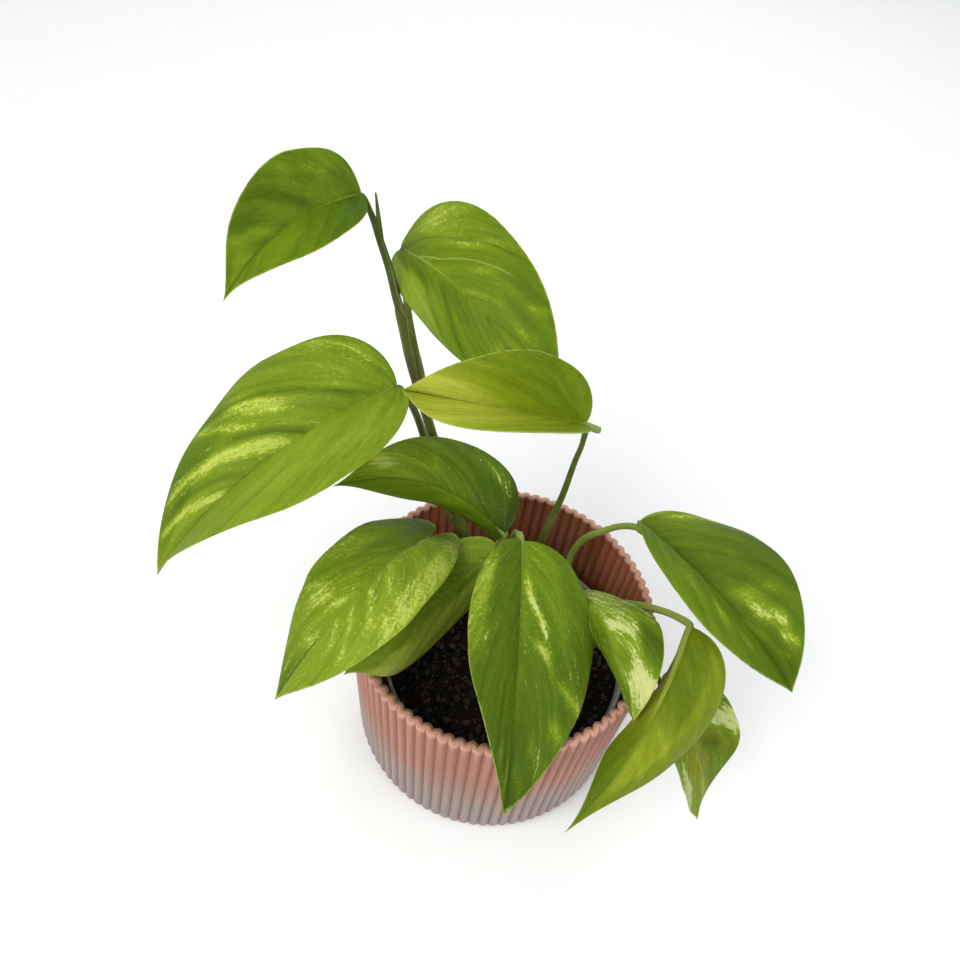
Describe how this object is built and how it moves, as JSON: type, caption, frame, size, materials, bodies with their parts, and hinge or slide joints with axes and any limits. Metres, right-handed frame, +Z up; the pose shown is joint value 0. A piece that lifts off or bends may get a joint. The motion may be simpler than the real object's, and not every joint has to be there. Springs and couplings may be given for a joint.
{
  "type": "potted pothos plant",
  "caption": "Small variegated pothos with heart-shaped leaves on leaning stems, standing in soil in a thin inner pot inside a ribbed round outer pot.",
  "frame": {"origin": "middle of the outer pot's flat underside", "axes": "+Z up along the outer pot's axis; +X to the right and -Y towards the viewer, as seen from the front"},
  "size_m": [0.2401, 0.1675, 0.2327],
  "materials": {
    "pot_plastic": "dusty pink moulded plastic, matte",
    "grower_plastic": "thin grey translucent plastic",
    "soil": "dark crumbly potting mix",
    "stem": "smooth green vine",
    "leaf": "satin waxy leaf, green with lime and cream streaks"
  },
  "bodies": {
    "root": {"outer_pot": "pot_plastic", "grower_pot": "grower_plastic", "soil": "soil", "stem_back": "stem", "stem_middle": "stem", "stem_right": "stem", "stem_left": "stem", "leaf_01": "leaf", "leaf_02": "leaf", "leaf_03": "leaf", "leaf_04": "leaf", "leaf_05": "leaf", "leaf_06": "leaf", "leaf_07": "leaf", "leaf_08": "leaf", "leaf_09": "leaf", "leaf_10": "leaf", "leaf_11": "leaf", "leaf_12": "leaf"}
  },
  "joints": []
}
